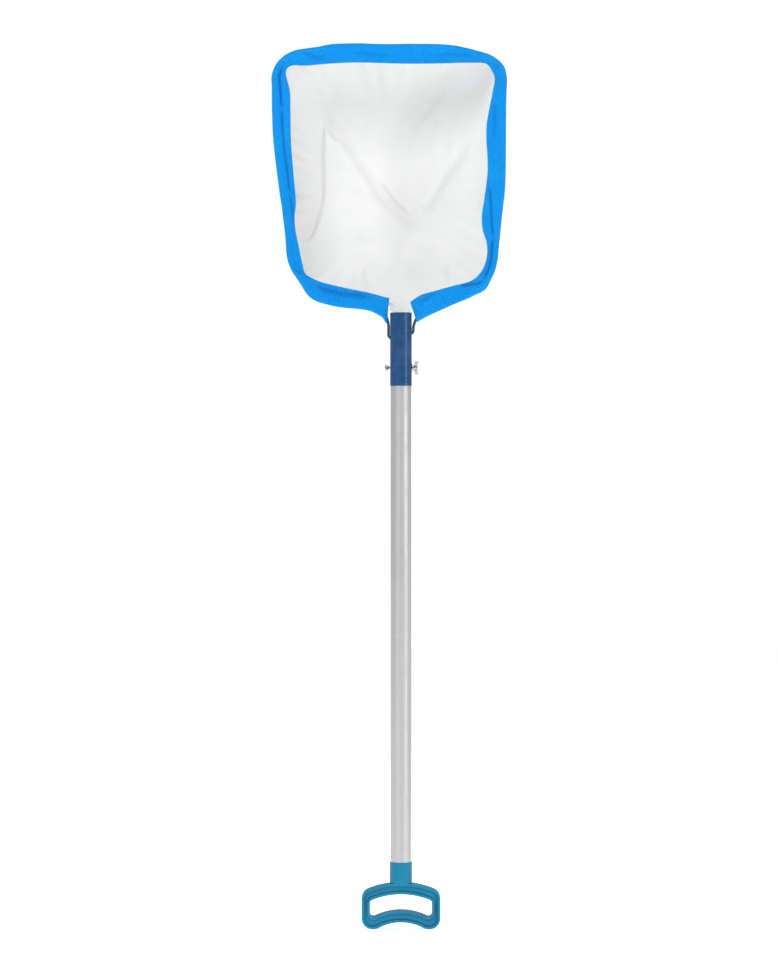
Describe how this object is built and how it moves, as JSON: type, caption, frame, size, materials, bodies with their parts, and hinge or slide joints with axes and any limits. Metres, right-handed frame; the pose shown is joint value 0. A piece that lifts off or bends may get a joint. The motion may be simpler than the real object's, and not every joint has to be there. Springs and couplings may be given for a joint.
{
  "type": "leaf skimmer net",
  "caption": "Hand leaf skimmer for pools and spas: a D-grip on a push-fit tube pole, with a wire-hooped mesh bag clamped on its end.",
  "frame": {"origin": "middle of the grip bar, on the pole's axis", "axes": "+Z along the pole from the grip to the net; -Y is the open front of the net and its bag hangs towards +Y; X is across the net"},
  "size_m": [0.3201, 0.1165, 1.2083],
  "materials": {
    "grip_plastic": "moulded satin, teal",
    "pole_aluminium": "drawn and anodised, matt",
    "navy_coating": "smooth powder coat, satin",
    "hem_cloth": "coarse plain-woven polyester",
    "hem_thread": "twisted polyester thread",
    "net_mesh": "fine white knitted mesh",
    "zinc_steel": "bright zinc plate"
  },
  "bodies": {
    "grip_section": {"handle": "grip_plastic", "pole_lower": "pole_aluminium"},
    "net_section": {"pole_upper": "pole_aluminium", "ferrule": "navy_coating", "hoop_frame": "navy_coating", "hem_sleeve": "hem_cloth", "hem_stitching": "hem_thread", "bag_side_panel": "net_mesh", "bag_back_panel": "net_mesh", "nut_washer": "zinc_steel"},
    "clamp_bolt": {"clamp_bolt": "zinc_steel"},
    "wing_nut": {"wing_nut": "zinc_steel"}
  },
  "joints": [
    {"name": "pole_pull", "type": "slide", "parent": "grip_section", "child": "net_section", "axis": [0, 0, 1], "range_m": [0, 0.075]},
    {"name": "wing_nut_turn", "type": "hinge", "parent": "net_section", "child": "wing_nut", "pos_m": [0.01955, 0, 0.7486], "axis": [1, 0, 0], "range_deg": [-1080.1, 720.1]},
    {"name": "bolt_draw", "type": "slide", "parent": "net_section", "child": "clamp_bolt", "axis": [1, 0, 0], "range_m": [-0.0014, 0.0021]}
  ],
  "couplings": [
    {"joint": "wing_nut_turn", "follows": "bolt_draw", "rad_per_m": -8976}
  ]
}
